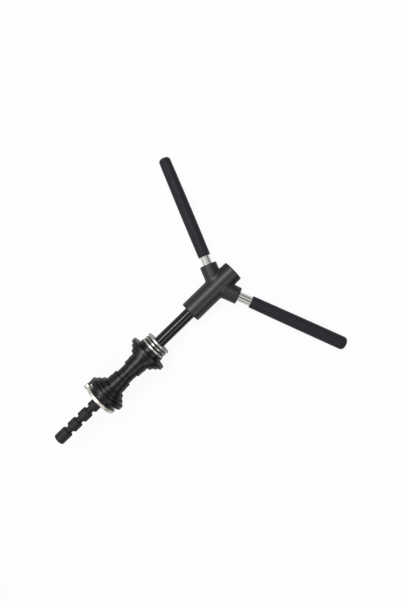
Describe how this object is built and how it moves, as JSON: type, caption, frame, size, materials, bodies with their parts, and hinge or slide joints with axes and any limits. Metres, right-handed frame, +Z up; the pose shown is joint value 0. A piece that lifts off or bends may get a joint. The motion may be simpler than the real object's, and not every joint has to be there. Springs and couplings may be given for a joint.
{
  "type": "headset press",
  "caption": "Screw press for bicycle bearing cups: grooved spindle with stepped discs, thrust bearing, lock plate and an angled handle.",
  "frame": {"origin": "on the floor that the press lies on, below the middle of the whole press", "axes": "+X along the press towards its head, +Y towards the left arm, +Z up from the floor"},
  "size_m": [0.4124, 0.391, 0.0687],
  "materials": {
    "phosphated_steel": "satin black",
    "plain_steel": "plain",
    "oxidised_steel": "satin black",
    "nylon": "matt",
    "powder_coat": "fine textured powder coat",
    "bronze": "turned",
    "spring_steel": "plain",
    "black_plastic": "matt",
    "chrome": "polished",
    "grip_rubber": "matt",
    "ring_rubber": "matt",
    "anodised_disc": "turned and anodised black",
    "bearing_steel": "ground",
    "cage_steel": "pressed sheet",
    "ball_steel": "polished",
    "plated_steel": "bright plated",
    "screw_steel": "plated"
  },
  "bodies": {
    "spindle": {"spindle": "phosphated_steel", "stop_washer": "plain_steel", "stop_screw": "oxidised_steel"},
    "guide_bush": {"guide_bush": "nylon"},
    "handle": {"handle_head": "powder_coat", "spindle_nut": "bronze", "bush_circlip": "spring_steel", "head_cap": "black_plastic", "left_rod": "chrome", "right_rod": "chrome", "left_grip": "grip_rubber", "right_grip": "grip_rubber"},
    "upper_ring": {"upper_ring": "ring_rubber"},
    "upper_disc": {"upper_press_disc": "anodised_disc", "bearing_lower_washer": "bearing_steel"},
    "bearing_cage": {"bearing_cage": "cage_steel", "bearing_balls": "ball_steel"},
    "bearing_top": {"bearing_top_washer": "bearing_steel"},
    "lower_disc": {"lower_press_disc": "anodised_disc", "lower_ring": "ring_rubber", "pivot_screw": "screw_steel", "pivot_spacer": "oxidised_steel", "wave_washer": "spring_steel", "stop_pin": "plain_steel"},
    "lock_plate": {"lock_plate": "plated_steel"}
  },
  "joints": [
    {"name": "handle_feed", "type": "slide", "parent": "spindle", "child": "guide_bush", "axis": [0.9966, 0, -0.0818], "range_m": [0, 0.0361]},
    {"name": "handle_turn", "type": "hinge", "parent": "guide_bush", "child": "handle", "pos_m": [0.06656, 0.00149, 0.02367], "axis": [0.9966, 0, -0.0818], "range_deg": [0, 3240]},
    {"name": "upper_slide", "type": "slide", "parent": "spindle", "child": "upper_ring", "axis": [0.9966, 0, -0.0818], "range_m": [0, 0.06367]},
    {"name": "upper_disc_spin", "type": "hinge", "parent": "upper_ring", "child": "upper_disc", "pos_m": [-0.01118, 0.00149, 0.03005], "axis": [0.9966, 0, -0.0818], "continuous": true},
    {"name": "cage_spin", "type": "hinge", "parent": "upper_disc", "child": "bearing_cage", "pos_m": [-0.00421, 0.00149, 0.02947], "axis": [0.9966, 0, -0.0818], "continuous": true},
    {"name": "top_washer_spin", "type": "hinge", "parent": "upper_disc", "child": "bearing_top", "pos_m": [0.00277, 0.00149, 0.0289], "axis": [0.9966, 0, -0.0818], "continuous": true},
    {"name": "lower_disc_spin", "type": "hinge", "parent": "spindle", "child": "lower_disc", "pos_m": [-0.11583, 0.00149, 0.03863], "axis": [0.9966, 0, -0.0818], "continuous": true},
    {"name": "lock_plate_swing", "type": "hinge", "parent": "lower_disc", "child": "lock_plate", "pos_m": [-0.11824, 0.02978, 0.03929], "axis": [-0.9966, 0, 0.0818], "range_deg": [0, 23]}
  ],
  "couplings": [
    {"joint": "handle_feed", "follows": "handle_turn", "m_per_rad": 0.00063662},
    {"joint": "cage_spin", "follows": "top_washer_spin", "ratio": 0.5}
  ]
}
